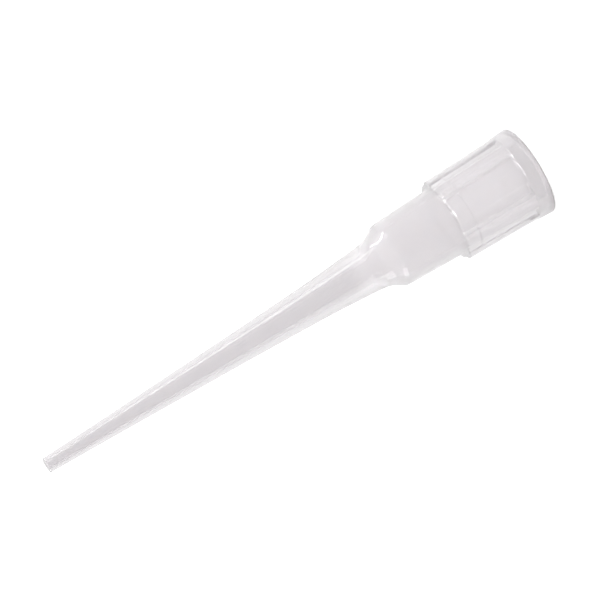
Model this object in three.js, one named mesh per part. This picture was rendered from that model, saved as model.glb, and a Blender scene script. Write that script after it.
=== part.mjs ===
// Tip for a 10 microlitre pipette, moulded in one piece.
// Millimetres. The tip stands on its mouth: the origin is the centre of the rim, and +Z runs along the
// axis to the point. Every outer size is the bore at that height plus a wall.

import * as THREE from 'three';

const { degToRad, mapLinear } = THREE.MathUtils;

// Lengths along the axis
const tipLength = 31.5;
const mouthRingLength = 1.0;
const collarLength = 5.52; // from the rim to the step, the mouth ring included
const barrelLength = 3.73;
const shoulderLength = 0.73;
const neckLength = 0.9; // from the shoulder to the cone
const upperTaperLength = 3.1;
const middleTaperLength = 4.77;
const pointLength = 3.8; // the last, nearly straight stretch

// Bores, as diameters
const mouthBore = 4.0;
const socketEndBore = 3.1;
const coneBore = 1.12; // where the funnel meets the cone
const orifice = 0.4;

// The socket's ledge, which the pipette's nozzle seals against, and the lead-in at the mouth
const sealDepth = 4.5;
const sealLedge = 0.08;
const leadIn = 0.2;
const funnelLength = 1.5;

// Walls, outside the bore
const rimWall = 0.64;
const ringFootWall = 0.63;
const collarWall = 0.59; // over the ribs, next to the mouth ring
const stepWall = 0.75; // over the ribs, at the step
const barrelWall = 0.35;
const barrelEndWall = 0.37;
const shoulderFootWall = 0.42;
const neckWall = 0.77;
const upperTaperWall = 0.597;
const middleTaperWall = 0.468;
const pointStartWall = 0.291;
const pointWall = 0.24;

// Ribs round the collar, with a groove between each two
const ribCount = 9;
const ribHeight = 0.14;
const ribCrestAngle = 19; // degrees of the circle
const ribFootAngle = 28;

// Rounded edges
const rimRounding = 0.1;
const ringRounding = 0.03;
const stepRounding = 0.13;
const stepFillet = 0.06;
const barrelRounding = 0.6;
const shoulderFillet = 1.2;
const funnelRounding = 0.3;
const roundingSteps = 3;

// Heights above the rim
const barrelEnd = collarLength + barrelLength;
const shoulderEnd = barrelEnd + shoulderLength;
const neckEnd = shoulderEnd + neckLength;
const upperTaperEnd = neckEnd + upperTaperLength;
const middleTaperEnd = upperTaperEnd + middleTaperLength;
const pointStart = tipLength - pointLength;
const funnelEnd = barrelEnd + funnelLength;

// The bore's radius, height by height: the socket, its ledge, the funnel and the cone
function boreRadius(height) {
  if (height < barrelEnd) {
    const ledge = height > sealDepth ? sealLedge : 0;
    return mapLinear(height, 0, barrelEnd, mouthBore / 2, socketEndBore / 2 + sealLedge) - ledge;
  }
  if (height < funnelEnd) {
    return mapLinear(height, barrelEnd, funnelEnd, socketEndBore / 2, coneBore / 2);
  }
  return mapLinear(height, funnelEnd, tipLength, coneBore / 2, orifice / 2);
}

// A corner of the outline, rounded to the given radius. A ribbed corner sinks into the grooves.
function corner(radius, height, rounding = 0, ribbed = false) {
  return { at: new THREE.Vector2(radius, height), rounding, ribbed };
}

function outerCorner(height, wall, rounding, ribbed) {
  return corner(boreRadius(height) + wall, height, rounding, ribbed);
}

// The wall's outline, half of its section: up the outside from the rim, then back down the bore
function outlineCorners() {
  const ledgeRadius = boreRadius(sealDepth);
  return [
    corner(mouthBore / 2 + leadIn, 0),
    outerCorner(0, rimWall, rimRounding),
    outerCorner(mouthRingLength, ringFootWall, ringRounding),
    outerCorner(mouthRingLength, collarWall, 0, true),
    outerCorner(collarLength, stepWall, stepRounding, true),
    outerCorner(collarLength, barrelWall, stepFillet),
    corner(socketEndBore / 2 + barrelEndWall, barrelEnd, barrelRounding),
    outerCorner(shoulderEnd, shoulderFootWall, shoulderFillet),
    outerCorner(neckEnd, neckWall),
    outerCorner(upperTaperEnd, upperTaperWall),
    outerCorner(middleTaperEnd, middleTaperWall),
    outerCorner(pointStart, pointStartWall),
    outerCorner(tipLength, pointWall),
    corner(orifice / 2, tipLength),
    corner(coneBore / 2, funnelEnd, funnelRounding),
    corner(socketEndBore / 2, barrelEnd, funnelRounding),
    corner(ledgeRadius - sealLedge, sealDepth + sealLedge),
    corner(ledgeRadius, sealDepth),
    corner(mouthBore / 2, leadIn),
  ];
}

// The arc that rounds a corner, from one side's tangent point to the other's
function roundedCorner(before, here, after) {
  const towardsBefore = before.at.clone().sub(here.at).normalize();
  const towardsAfter = after.at.clone().sub(here.at).normalize();
  const halfAngle = Math.acos(towardsBefore.dot(towardsAfter)) / 2;
  const bisector = towardsBefore.clone().add(towardsAfter).normalize();
  const centre = here.at.clone().addScaledVector(bisector, here.rounding / Math.sin(halfAngle));
  const reach = here.rounding / Math.tan(halfAngle);
  const start = here.at.clone().addScaledVector(towardsBefore, reach);
  const end = here.at.clone().addScaledVector(towardsAfter, reach);
  const startArm = start.clone().sub(centre);
  const endArm = end.clone().sub(centre);
  const turn = Math.atan2(startArm.cross(endArm), startArm.dot(endArm));
  return Array.from({ length: roundingSteps + 1 }, (_, step) =>
    start.clone().rotateAround(centre, (turn * step) / roundingSteps));
}

// The outline's points, each with whether it lies on the ribs
function outlinePoints() {
  const corners = outlineCorners();
  return corners.flatMap((here, index) => {
    const before = corners.at(index - 1);
    const after = corners[(index + 1) % corners.length];
    const points = here.rounding > 0 ? roundedCorner(before, here, after) : [here.at];
    return points.map((point) => ({ point, ribbed: here.ribbed }));
  });
}

// One pitch of the collar's columns: each one's angle from the rib's middle, and whether it is in the groove
const pitch = 360 / ribCount;
const pitchColumns = [
  { angle: 0, inGroove: false },
  { angle: ribCrestAngle / 2, inGroove: false },
  { angle: ribFootAngle / 2, inGroove: true },
  { angle: pitch / 2, inGroove: true },
  { angle: pitch - ribFootAngle / 2, inGroove: true },
  { angle: pitch - ribCrestAngle / 2, inGroove: false },
];
const columnCount = ribCount * pitchColumns.length;

// The wall turned round the axis, its columns moved to the ribs' edges and sunk into the grooves
function tipGeometry() {
  const outline = outlinePoints();
  const closedOutline = [...outline, outline[0]];
  const geometry = new THREE.LatheGeometry(closedOutline.map(({ point }) => point), columnCount);
  geometry.rotateX(Math.PI / 2);
  const position = geometry.getAttribute('position');
  for (let column = 0; column <= columnCount; column += 1) {
    const place = column % columnCount;
    const { angle, inGroove } = pitchColumns[place % pitchColumns.length];
    const rib = Math.floor(place / pitchColumns.length);
    const turn = degToRad(rib * pitch + angle);
    closedOutline.forEach(({ point, ribbed }, row) => {
      const radius = point.x - (ribbed && inGroove ? ribHeight : 0);
      const vertex = column * closedOutline.length + row;
      position.setXYZ(vertex, radius * Math.cos(turn), radius * Math.sin(turn), point.y);
    });
  }
  return geometry;
}

const polypropylene = new THREE.MeshStandardMaterial({ color: 0xdddbe0, roughness: 0.25, metalness: 0 });

const pipetteTip = new THREE.Mesh(tipGeometry(), polypropylene);
pipetteTip.name = 'pipette_tip';

const group = new THREE.Group();
group.add(pipetteTip);

export default group;
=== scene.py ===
# A moulded polypropylene tip for a 10 microlitre pipette, standing on its mouth.
# Metres. The frame's origin is the centre of the rim, and +Z runs along the axis to the point.

import math

import bmesh
import bpy
from mathutils import Matrix, Vector


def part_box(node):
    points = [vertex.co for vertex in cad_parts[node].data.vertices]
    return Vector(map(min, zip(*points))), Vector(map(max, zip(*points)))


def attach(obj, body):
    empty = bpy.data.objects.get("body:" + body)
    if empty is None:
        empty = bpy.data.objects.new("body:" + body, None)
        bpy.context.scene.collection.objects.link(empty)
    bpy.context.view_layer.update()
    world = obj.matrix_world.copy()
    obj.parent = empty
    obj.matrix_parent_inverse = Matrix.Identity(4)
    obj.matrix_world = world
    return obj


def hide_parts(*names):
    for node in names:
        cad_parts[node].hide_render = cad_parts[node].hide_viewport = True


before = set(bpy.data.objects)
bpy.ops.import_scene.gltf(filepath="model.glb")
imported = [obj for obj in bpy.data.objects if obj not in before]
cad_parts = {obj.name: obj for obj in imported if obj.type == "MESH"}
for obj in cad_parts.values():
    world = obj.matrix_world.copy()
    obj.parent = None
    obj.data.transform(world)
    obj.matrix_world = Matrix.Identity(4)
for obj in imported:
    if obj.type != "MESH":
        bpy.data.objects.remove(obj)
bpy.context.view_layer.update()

MM = 0.001
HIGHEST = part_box("pipette_tip")[1]

# Heights above the rim
TIP_LENGTH = HIGHEST.z
RING_TOP = 1.0 * MM
STEP = 5.52 * MM
BARREL_END = 9.25 * MM
SHOULDER_END = 9.98 * MM
NECK_END = 10.88 * MM
UPPER_TAPER_END = 13.98 * MM
MIDDLE_TAPER_END = 18.75 * MM
POINT_START = TIP_LENGTH - 3.8 * MM

# Outer radii
RIM_RADIUS = 2.634 * MM
RING_TOP_RADIUS = 2.593 * MM
COLLAR_FOOT_RADIUS = 2.55 * MM
COLLAR_END_RADIUS = 2.45 * MM
BARREL_FOOT_RADIUS = 2.05 * MM
BARREL_END_RADIUS = 1.92 * MM
SHOULDER_END_RADIUS = 1.45 * MM
NECK_RADIUS = 1.33 * MM
UPPER_TAPER_RADIUS = 1.10 * MM
MIDDLE_TAPER_RADIUS = 0.889 * MM
POINT_START_RADIUS = 0.557 * MM
POINT_RADIUS = 0.44 * MM

# The bore: lead-in, socket, sealing ledge, funnel and cone
LEAD_IN = 0.2 * MM
MOUTH_BORE_RADIUS = 2.0 * MM
SEAL_DEPTH = 4.5 * MM
SEAL_LEDGE = 0.08 * MM
SOCKET_END_RADIUS = 1.55 * MM
FUNNEL_END = 10.75 * MM
FUNNEL_END_RADIUS = 0.56 * MM
ORIFICE_RADIUS = 0.2 * MM

# Ribs round the collar, in degrees of the circle
COLUMNS = 360
RIB_COUNT = 9
RIB_HEIGHT = 0.14 * MM
RIB_CREST_ANGLE = 19.0
RIB_FOOT_ANGLE = 28.0
RIB_ROUNDING = 0.1 * MM
GROOVE_START = RING_TOP + 0.1 * MM
GROOVE_HALF = 180.0 / RIB_COUNT - RIB_CREST_ANGLE / 2
FLOOR_HALF = 180.0 / RIB_COUNT - RIB_FOOT_ANGLE / 2

# How far each rounding or chamfer reaches from its edge
RIM_ROUNDING = 0.1 * MM
RING_CHAMFER = 0.04 * MM
STEP_CHAMFER = 0.08 * MM
STEP_FILLET = 0.06 * MM
GROOVE_END_FILLET = 0.05 * MM
BARREL_ROUNDING = 0.165 * MM
SHOULDER_FILLET = 0.268 * MM
NECK_BLEND = 0.3 * MM
TAPER_BLEND = 0.5 * MM
POINT_ROUNDING = 0.06 * MM
ORIFICE_ROUNDING = 0.03 * MM
FUNNEL_BLEND = 0.09 * MM
SEAL_ROUNDING = 0.03 * MM
LEAD_IN_BLEND = 0.05 * MM
LEAD_IN_ROUNDING = 0.03 * MM

SAME_PLACE = 0.001 * MM
NEAR = 0.005 * MM
SMOOTH_ANGLE = math.radians(40.0)
MODELLING_SCALE = 1000.0


# ---------- modelling ----------

def radius_of(point):
    return math.hypot(point.x, point.y)


def from_groove_middle(point):
    """Degrees from the middle of the nearest groove."""
    pitch = 360.0 / RIB_COUNT
    return abs(math.degrees(math.atan2(point.y, point.x)) % pitch - pitch / 2)


def select_points(piece, wanted):
    """Selects the points that pass the test, and nothing else."""
    bpy.ops.mesh.select_mode(type="VERT")
    bpy.ops.mesh.select_all(action="DESELECT")
    mesh = bmesh.from_edit_mesh(piece.data)
    for vertex in mesh.verts:
        vertex.select_set(wanted(vertex.co))
    mesh.select_flush_mode()
    bmesh.update_edit_mesh(piece.data)


def select_edges(piece, wanted):
    """Selects the edges whose two ends both pass the test, and nothing else."""
    bpy.ops.mesh.select_mode(type="EDGE")
    bpy.ops.mesh.select_all(action="DESELECT")
    mesh = bmesh.from_edit_mesh(piece.data)
    for edge in mesh.edges:
        edge.select_set(all(wanted(end.co) for end in edge.verts))
    bmesh.update_edit_mesh(piece.data)


def selected_points(piece):
    mesh = bmesh.from_edit_mesh(piece.data)
    return [vertex.co.copy() for vertex in mesh.verts if vertex.select]


def scale_ring(scale):
    bpy.ops.transform.resize(value=(scale, scale, 1.0), center_override=(0.0, 0.0, 0.0))


def move_ring(piece, radius, height):
    """Puts the selected ring at a radius, taken at its widest, and a height."""
    points = selected_points(piece)
    scale_ring(radius / max(radius_of(point) for point in points))
    bpy.ops.transform.translate(value=(0.0, 0.0, height - points[0].z))


def extrude_ring(piece, radius, height):
    """Carries the wall on from the selected ring to the next one."""
    bpy.ops.mesh.extrude_edges_move()
    move_ring(piece, radius, height)


def bevel_ring(piece, height, radius, reach, segments=6):
    """Rounds the ring of edges at this height and radius."""
    def on_ring(point):
        return abs(point.z - height) < NEAR and abs(radius_of(point) - radius) < NEAR

    select_edges(piece, on_ring)
    bpy.ops.mesh.bevel(offset=reach, segments=segments, profile=0.5, affect="EDGES")


def bevel_rows(piece, height, least_radius, reach, segments=6):
    """Rounds the ribbed ring of edges at this height, outside the given radius."""
    select_edges(piece, lambda point: abs(point.z - height) < SAME_PLACE and radius_of(point) > least_radius)
    bpy.ops.mesh.bevel(offset=reach, segments=segments, profile=0.5, affect="EDGES")


def make_tip():
    bpy.ops.object.select_all(action="DESELECT")
    bpy.ops.mesh.primitive_circle_add(vertices=COLUMNS, radius=COLLAR_FOOT_RADIUS, location=(0.0, 0.0, 0.0))
    tip = bpy.context.object
    tip.name = "tip_wall"
    bpy.ops.object.mode_set(mode="EDIT")
    shape_rib_section(tip)
    model_outside(tip)
    model_mouth_and_bore(tip)
    close_point(tip)
    round_edges(tip)
    bpy.ops.object.mode_set(mode="OBJECT")
    bpy.ops.object.shade_smooth_by_angle(angle=SMOOTH_ANGLE)
    straighten_normals(tip)
    return tip


def shape_rib_section(tip):
    """Turns the circle into the collar's section: ribs, grooves and the rounded edges between them."""
    bpy.ops.mesh.select_all(action="SELECT")
    bpy.ops.transform.translate(value=(0.0, 0.0, GROOVE_START))
    half_column = math.pi / COLUMNS
    bpy.ops.transform.rotate(value=half_column, orient_axis="Z", center_override=(0.0, 0.0, 0.0))
    slack = 0.2
    select_points(tip, lambda point: FLOOR_HALF + slack < from_groove_middle(point) < GROOVE_HALF - slack)
    bpy.ops.mesh.dissolve_verts()
    select_points(tip, lambda point: from_groove_middle(point) < FLOOR_HALF + slack)
    scale_ring(1.0 - RIB_HEIGHT / COLLAR_FOOT_RADIUS)
    select_points(tip, lambda point: abs(from_groove_middle(point) - FLOOR_HALF) < slack
                  or abs(from_groove_middle(point) - GROOVE_HALF) < slack)
    bpy.ops.mesh.bevel(offset=RIB_ROUNDING, segments=3, affect="VERTICES")
    bpy.ops.mesh.select_all(action="SELECT")


def model_outside(tip):
    """Up the outside, ring by ring: the ribs, the step, the barrel, the shoulder and the cone."""
    extrude_ring(tip, COLLAR_END_RADIUS, STEP)
    bpy.ops.mesh.extrude_edges_move()
    bpy.ops.transform.tosphere(value=1.0, center_override=(0.0, 0.0, STEP))
    move_ring(tip, BARREL_FOOT_RADIUS, STEP)
    extrude_ring(tip, BARREL_END_RADIUS, BARREL_END)
    extrude_ring(tip, SHOULDER_END_RADIUS, SHOULDER_END)
    extrude_ring(tip, NECK_RADIUS, NECK_END)
    extrude_ring(tip, UPPER_TAPER_RADIUS, UPPER_TAPER_END)
    extrude_ring(tip, MIDDLE_TAPER_RADIUS, MIDDLE_TAPER_END)
    extrude_ring(tip, POINT_START_RADIUS, POINT_START)
    extrude_ring(tip, POINT_RADIUS, TIP_LENGTH)


def socket_radius(height):
    """The socket's draft, from the mouth to the barrel's end, without the ledge."""
    draft = (MOUTH_BORE_RADIUS - SOCKET_END_RADIUS - SEAL_LEDGE) / BARREL_END
    return MOUTH_BORE_RADIUS - draft * height


def model_mouth_and_bore(tip):
    """Down over the mouth ring and the rim, then up the bore: the socket, the funnel and the cone."""
    select_edges(tip, lambda point: abs(point.z - GROOVE_START) < SAME_PLACE)
    bpy.ops.mesh.extrude_edges_move()
    bpy.ops.transform.tosphere(value=1.0, center_override=(0.0, 0.0, GROOVE_START))
    move_ring(tip, COLLAR_FOOT_RADIUS, RING_TOP)
    extrude_ring(tip, RING_TOP_RADIUS, RING_TOP)
    extrude_ring(tip, RIM_RADIUS, 0.0)
    extrude_ring(tip, socket_radius(LEAD_IN) + LEAD_IN, 0.0)
    extrude_ring(tip, socket_radius(LEAD_IN), LEAD_IN)
    extrude_ring(tip, socket_radius(SEAL_DEPTH), SEAL_DEPTH)
    extrude_ring(tip, socket_radius(SEAL_DEPTH) - SEAL_LEDGE, SEAL_DEPTH + SEAL_LEDGE)
    extrude_ring(tip, SOCKET_END_RADIUS, BARREL_END)
    extrude_ring(tip, FUNNEL_END_RADIUS, FUNNEL_END)
    extrude_ring(tip, ORIFICE_RADIUS, TIP_LENGTH)


def close_point(tip):
    """The point's flat end, between the cone's outside and its bore."""
    select_edges(tip, lambda point: abs(point.z - TIP_LENGTH) < SAME_PLACE)
    bpy.ops.mesh.bridge_edge_loops()
    bpy.ops.mesh.select_all(action="SELECT")
    bpy.ops.mesh.normals_make_consistent(inside=False)


def round_edges(tip):
    """The mould's roundings, ring by ring up the outside and then up the bore."""
    ribbed_inside = COLLAR_END_RADIUS - 1.5 * RIB_HEIGHT
    bevel_ring(tip, 0.0, RIM_RADIUS, RIM_ROUNDING)
    bevel_ring(tip, RING_TOP, RING_TOP_RADIUS, RING_CHAMFER, 1)
    bevel_ring(tip, STEP, BARREL_FOOT_RADIUS, STEP_FILLET, 4)
    bevel_rows(tip, STEP, ribbed_inside, STEP_CHAMFER, 1)
    bevel_rows(tip, GROOVE_START, ribbed_inside, GROOVE_END_FILLET)
    bevel_ring(tip, BARREL_END, BARREL_END_RADIUS, BARREL_ROUNDING)
    bevel_ring(tip, SHOULDER_END, SHOULDER_END_RADIUS, SHOULDER_FILLET)
    bevel_ring(tip, NECK_END, NECK_RADIUS, NECK_BLEND)
    bevel_ring(tip, UPPER_TAPER_END, UPPER_TAPER_RADIUS, TAPER_BLEND)
    bevel_ring(tip, MIDDLE_TAPER_END, MIDDLE_TAPER_RADIUS, TAPER_BLEND)
    bevel_ring(tip, POINT_START, POINT_START_RADIUS, TAPER_BLEND)
    bevel_ring(tip, TIP_LENGTH, POINT_RADIUS, POINT_ROUNDING)
    bevel_ring(tip, TIP_LENGTH, ORIFICE_RADIUS, ORIFICE_ROUNDING, 3)
    bevel_ring(tip, FUNNEL_END, FUNNEL_END_RADIUS, FUNNEL_BLEND)
    bevel_ring(tip, BARREL_END, SOCKET_END_RADIUS, FUNNEL_BLEND)
    bevel_ring(tip, SEAL_DEPTH + SEAL_LEDGE, socket_radius(SEAL_DEPTH) - SEAL_LEDGE, SEAL_ROUNDING, 3)
    bevel_ring(tip, SEAL_DEPTH, socket_radius(SEAL_DEPTH), SEAL_ROUNDING, 3)
    bevel_ring(tip, LEAD_IN, socket_radius(LEAD_IN), LEAD_IN_BLEND, 3)
    bevel_ring(tip, 0.0, socket_radius(LEAD_IN) + LEAD_IN, LEAD_IN_ROUNDING, 3)


def scale_whole(scale):
    """Scales the whole mesh about the origin, from object mode and back to it."""
    bpy.ops.object.mode_set(mode="EDIT")
    bpy.ops.mesh.select_mode(type="VERT")
    bpy.ops.mesh.select_all(action="SELECT")
    bpy.ops.transform.resize(value=(scale, scale, scale), center_override=(0.0, 0.0, 0.0))
    bpy.ops.object.mode_set(mode="OBJECT")


def straighten_normals(piece):
    """Keeps the long walls' shading straight up to their rounded ends.

    The modifier weighs normals by area, and loses faces as small as these unless they are enlarged first.
    """
    scale_whole(MODELLING_SCALE)
    weighted = piece.modifiers.new("wall_normals", "WEIGHTED_NORMAL")
    weighted.keep_sharp = True
    bpy.ops.object.modifier_apply(modifier=weighted.name)
    scale_whole(1.0 / MODELLING_SCALE)


# ---------- materials ----------

# The flow marks: noise scales per metre, and how far the marks are drawn out along the axis
CLOUD_SCALE = 1500.0
HAZE_SCALE = 2500.0
WAVE_SCALE = 1500.0
STRETCH_ALONG_AXIS = (1.0, 1.0, 0.12)


def make_flow_marks():
    """Shader group: how moulded polypropylene varies. It gives a cloud mask, a haze mask and a height."""
    group = bpy.data.node_groups.new("moulded_flow_marks", "ShaderNodeTree")
    for name in ("Cloud", "Haze", "Height"):
        group.interface.new_socket(name=name, in_out="OUTPUT", socket_type="NodeSocketFloat")
    nodes = group.nodes
    links = group.links
    place = nodes.new("ShaderNodeTexCoord")
    out = nodes.new("NodeGroupOutput")

    cloud = nodes.new("ShaderNodeTexNoise")
    cloud.inputs["Scale"].default_value = CLOUD_SCALE
    cloud.inputs["Detail"].default_value = 3.0
    links.new(place.outputs["Object"], cloud.inputs["Vector"])
    links.new(cloud.outputs["Fac"], out.inputs["Cloud"])

    along_flow = nodes.new("ShaderNodeMapping")
    along_flow.inputs["Scale"].default_value = STRETCH_ALONG_AXIS
    links.new(place.outputs["Object"], along_flow.inputs["Vector"])

    haze = nodes.new("ShaderNodeTexNoise")
    haze.inputs["Scale"].default_value = HAZE_SCALE
    haze.inputs["Detail"].default_value = 4.0
    links.new(along_flow.outputs["Vector"], haze.inputs["Vector"])
    links.new(haze.outputs["Fac"], out.inputs["Haze"])

    waves = nodes.new("ShaderNodeTexNoise")
    waves.inputs["Scale"].default_value = WAVE_SCALE
    waves.inputs["Detail"].default_value = 2.0
    links.new(along_flow.outputs["Vector"], waves.inputs["Vector"])
    links.new(waves.outputs["Fac"], out.inputs["Height"])
    return group


# Clear polypropylene as it comes from the mould
POLYPROPYLENE_IOR = 1.49
CLEARNESS = 0.73
FULL_COAT = 1.0
SKIN_GLOSS = 0.03
COOL_CLOUD = (0.97, 0.955, 0.99, 1.0)
WARM_CLOUD = (1.0, 0.96, 0.96, 1.0)
HAZE_SPREAD = 0.05
RIPPLE_STRENGTH = 0.03
RIPPLE_DEPTH = 0.005 * MM
WALL_GREY = (0.9, 0.9, 0.9, 1.0)
WALL_GREY_DENSITY = 100.0

# Gradings up the tip, by height above the rim: painted light and shade in the plastic's base colour (lighter
# on the collar and shoulder, darker on the cone), and its skin's dullness.
# Both are chosen for this light.
JUST_PAST_STEP = STEP + 0.2 * MM
GRADE_END = 12.0 * MM
PAINTED_LIGHT_AND_SHADE = (
    (0.0, 1.0), (RING_TOP, 1.0), (STEP, 0.97), (JUST_PAST_STEP, 0.955), (BARREL_END, 0.955),
    (SHOULDER_END, 1.0), (NECK_END, 0.99), (GRADE_END, 0.89), (UPPER_TAPER_END, 0.88), (TIP_LENGTH, 0.88))
DULLNESS = (
    (0.0, 0.24), (STEP, 0.24), (BARREL_END, 0.2), (GRADE_END, 0.2),
    (UPPER_TAPER_END, 0.08), (TIP_LENGTH, 0.08))


def grade_up_the_tip(nodes, links, stops):
    """A ramp of greys along the axis. Each stop is a height and its grey."""
    place = nodes.new("ShaderNodeTexCoord")
    axes = nodes.new("ShaderNodeSeparateXYZ")
    links.new(place.outputs["Object"], axes.inputs["Vector"])
    share = nodes.new("ShaderNodeMapRange")
    share.inputs["From Max"].default_value = TIP_LENGTH
    links.new(axes.outputs["Z"], share.inputs["Value"])
    grade = nodes.new("ShaderNodeValToRGB")
    links.new(share.outputs["Result"], grade.inputs["Fac"])
    ramp = grade.color_ramp.elements
    ramp.remove(ramp[1])
    for index, (height, grey) in enumerate(stops):
        stop = ramp[0] if index == 0 else ramp.new(height / TIP_LENGTH)
        stop.position = height / TIP_LENGTH
        stop.color = (grey, grey, grey, 1.0)
    return grade.outputs["Color"]


def make_polypropylene(flow_marks):
    """Clear polypropylene: faintly milky and clouded, and duller on the collar than on the cone. Its base
    colour carries painted light and shade, lighter on the collar and shoulder and darker on the cone.
    """
    material = bpy.data.materials.new("moulded_polypropylene")
    material.use_nodes = True
    nodes = material.node_tree.nodes
    links = material.node_tree.links
    surface = nodes["Principled BSDF"]
    surface.inputs["IOR"].default_value = POLYPROPYLENE_IOR
    surface.inputs["Transmission Weight"].default_value = CLEARNESS
    surface.inputs["Coat Weight"].default_value = FULL_COAT
    surface.inputs["Coat Roughness"].default_value = SKIN_GLOSS

    marks = nodes.new("ShaderNodeGroup")
    marks.node_tree = flow_marks

    tint = nodes.new("ShaderNodeMix")
    tint.data_type = "RGBA"
    tint.inputs["A"].default_value = COOL_CLOUD
    tint.inputs["B"].default_value = WARM_CLOUD
    links.new(marks.outputs["Cloud"], tint.inputs["Factor"])
    shade = nodes.new("ShaderNodeMix")
    shade.data_type = "RGBA"
    shade.blend_type = "MULTIPLY"
    shade.inputs["Factor"].default_value = 1.0
    links.new(tint.outputs["Result"], shade.inputs["A"])
    # The cloud tint is multiplied by painted light and shade: lighter on the collar and shoulder, darker on
    # the cone.
    links.new(grade_up_the_tip(nodes, links, PAINTED_LIGHT_AND_SHADE), shade.inputs["B"])
    links.new(shade.outputs["Result"], surface.inputs["Base Color"])

    haze = nodes.new("ShaderNodeMapRange")
    haze.inputs["To Min"].default_value = 1.0 - HAZE_SPREAD
    haze.inputs["To Max"].default_value = 1.0 + HAZE_SPREAD
    links.new(marks.outputs["Haze"], haze.inputs["Value"])
    gloss = nodes.new("ShaderNodeMath")
    gloss.operation = "MULTIPLY"
    links.new(haze.outputs["Result"], gloss.inputs[0])
    links.new(grade_up_the_tip(nodes, links, DULLNESS), gloss.inputs[1])
    links.new(gloss.outputs["Value"], surface.inputs["Roughness"])

    ripples = nodes.new("ShaderNodeBump")
    ripples.inputs["Strength"].default_value = RIPPLE_STRENGTH
    ripples.inputs["Distance"].default_value = RIPPLE_DEPTH
    links.new(marks.outputs["Height"], ripples.inputs["Height"])
    links.new(ripples.outputs["Normal"], surface.inputs["Normal"])

    depth = nodes.new("ShaderNodeVolumeAbsorption")
    depth.inputs["Color"].default_value = WALL_GREY
    depth.inputs["Density"].default_value = WALL_GREY_DENSITY
    links.new(depth.outputs["Volume"], nodes["Material Output"].inputs["Volume"])
    return material


def backdrop_rays(nodes, links):
    """Two masks: the rays straight to the camera, and those with the mirrored and the refracted ones."""
    rays = nodes.new("ShaderNodeLightPath")
    camera = rays.outputs["Is Camera Ray"]
    camera_or_glossy = nodes.new("ShaderNodeMath")
    camera_or_glossy.operation = "MAXIMUM"
    links.new(camera, camera_or_glossy.inputs[0])
    links.new(rays.outputs["Is Glossy Ray"], camera_or_glossy.inputs[1])
    seen = nodes.new("ShaderNodeMath")
    seen.operation = "MAXIMUM"
    links.new(camera_or_glossy.outputs["Value"], seen.inputs[0])
    links.new(rays.outputs["Is Transmission Ray"], seen.inputs[1])
    return camera, seen.outputs["Value"]


def make_white_floor():
    """A pale floor that glows enough to be white to the camera, and less to rays off or through the tip."""
    material = bpy.data.materials.new("studio_floor")
    material.use_nodes = True
    nodes = material.node_tree.nodes
    links = material.node_tree.links
    surface = nodes["Principled BSDF"]
    surface.inputs["Base Color"].default_value = FLOOR_COLOUR
    surface.inputs["Roughness"].default_value = FLOOR_ROUGHNESS
    surface.inputs["Specular IOR Level"].default_value = 0.0
    surface.inputs["Emission Color"].default_value = (1.0, 1.0, 1.0, 1.0)
    camera, seen = backdrop_rays(nodes, links)
    glow_through = nodes.new("ShaderNodeMath")
    glow_through.operation = "MULTIPLY"
    glow_through.inputs[1].default_value = GLOW_THROUGH
    links.new(seen, glow_through.inputs[0])
    glow = nodes.new("ShaderNodeMath")
    glow.operation = "MULTIPLY_ADD"
    glow.inputs[1].default_value = GLOW_DIRECT
    links.new(camera, glow.inputs[0])
    links.new(glow_through.outputs["Value"], glow.inputs[2])
    links.new(glow.outputs["Value"], surface.inputs["Emission Strength"])
    return material


# ---------- studio ----------

FLOOR_RADIUS = 2.0
FLOOR_GAP = 0.02 * MM
FLOOR_COLOUR = (0.72, 0.72, 0.72, 1.0)
FLOOR_ROUGHNESS = 0.9
FLOOR_SIDES = 96
GLOW_THROUGH = 0.07
GLOW_DIRECT = 0.4
WORLD_LIGHT = 1.0
CAMERA_AZIMUTH = math.radians(12.0)
CAMERA_ELEVATION = math.radians(12.3)
CAMERA_ROLL = math.radians(-121.47)
CAMERA_DISTANCE = 317.6 * MM
LENS_LENGTH = 350.0
SENSOR_WIDTH = 36.0
AIM_RIGHT = 0.54 * MM
AIM_UP = 0.895 * MM


def make_floor():
    bpy.ops.object.select_all(action="DESELECT")
    bpy.ops.mesh.primitive_circle_add(
        vertices=FLOOR_SIDES, radius=FLOOR_RADIUS, fill_type="NGON", location=(0.0, 0.0, -FLOOR_GAP))
    floor = bpy.context.object
    floor.name = "studio_floor"
    floor.data.materials.append(make_white_floor())


def light_world():
    world = bpy.data.worlds.new("studio")
    bpy.context.scene.world = world
    world.use_nodes = True
    background = world.node_tree.nodes["Background"]
    background.inputs["Color"].default_value = (1.0, 1.0, 1.0, 1.0)
    background.inputs["Strength"].default_value = WORLD_LIGHT


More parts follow.
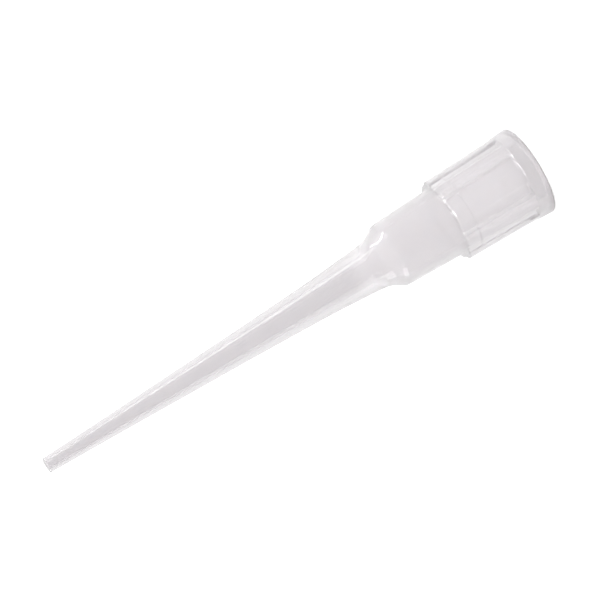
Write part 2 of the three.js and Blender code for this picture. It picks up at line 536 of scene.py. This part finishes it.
def add_soft_box(name, azimuth, elevation, distance, width, height, brightness):
    """A lamp that faces the tip's middle.

    Azimuth 0 stands in front, on the -Y side, and turns towards +X. A brightness of 1 is white.
    """
    turn = math.radians(azimuth)
    lift = math.radians(elevation)
    direction = Vector((math.sin(turn) * math.cos(lift), -math.cos(turn) * math.cos(lift), math.sin(lift)))
    lamp = bpy.data.lights.new(name, "AREA")
    lamp.shape = "RECTANGLE"
    lamp.size = width
    lamp.size_y = height
    lamp.energy = brightness * math.pi * width * height
    holder = bpy.data.objects.new(name, lamp)
    bpy.context.scene.collection.objects.link(holder)
    holder.location = Vector((0.0, 0.0, TIP_LENGTH / 2)) + direction * distance
    holder.rotation_euler = direction.to_track_quat("Z", "Y").to_euler()


def add_lights():
    add_soft_box("cone_strip", 76.0, 0.0, 45.0 * MM, 10.0 * MM, 23.0 * MM, 1.5)
    add_soft_box("side_soft_box", 94.0, 22.0, 500.0 * MM, 50.0 * MM, 300.0 * MM, 12.0)
    add_soft_box("fill_soft_box", -70.0, 8.0, 600.0 * MM, 400.0 * MM, 500.0 * MM, 1.6)
    add_soft_box("overhead_soft_box", 30.0, 76.0, 600.0 * MM, 300.0 * MM, 70.0 * MM, 8.0)
    add_soft_box("high_soft_box", 112.0, 60.0, 600.0 * MM, 300.0 * MM, 50.0 * MM, 12.0)


def add_camera():
    """A long lens from the point's side, rolled so that the tip lies from upper right to lower left."""
    back = Vector((
        math.sin(CAMERA_AZIMUTH) * math.cos(CAMERA_ELEVATION),
        -math.cos(CAMERA_AZIMUTH) * math.cos(CAMERA_ELEVATION),
        math.sin(CAMERA_ELEVATION)))
    level_right = Vector((math.cos(CAMERA_AZIMUTH), math.sin(CAMERA_AZIMUTH), 0.0))
    level_up = back.cross(level_right)
    right = level_right * math.cos(CAMERA_ROLL) + level_up * math.sin(CAMERA_ROLL)
    up = level_up * math.cos(CAMERA_ROLL) - level_right * math.sin(CAMERA_ROLL)
    lens = bpy.data.cameras.new("studio_camera")
    lens.lens = LENS_LENGTH
    lens.sensor_width = SENSOR_WIDTH
    camera = bpy.data.objects.new("studio_camera", lens)
    bpy.context.scene.collection.objects.link(camera)
    middle = Vector((0.0, 0.0, TIP_LENGTH / 2))
    place = middle + back * CAMERA_DISTANCE + right * AIM_RIGHT + up * AIM_UP
    turned = Matrix((right, up, back)).transposed().to_4x4()
    camera.matrix_world = Matrix.Translation(place) @ turned
    bpy.context.scene.camera = camera


add_camera()
make_floor()
light_world()
add_lights()
bpy.context.scene.view_settings.view_transform = "Standard"

tip = make_tip()
tip.data.materials.append(make_polypropylene(make_flow_marks()))
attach(tip, "root")
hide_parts("pipette_tip")
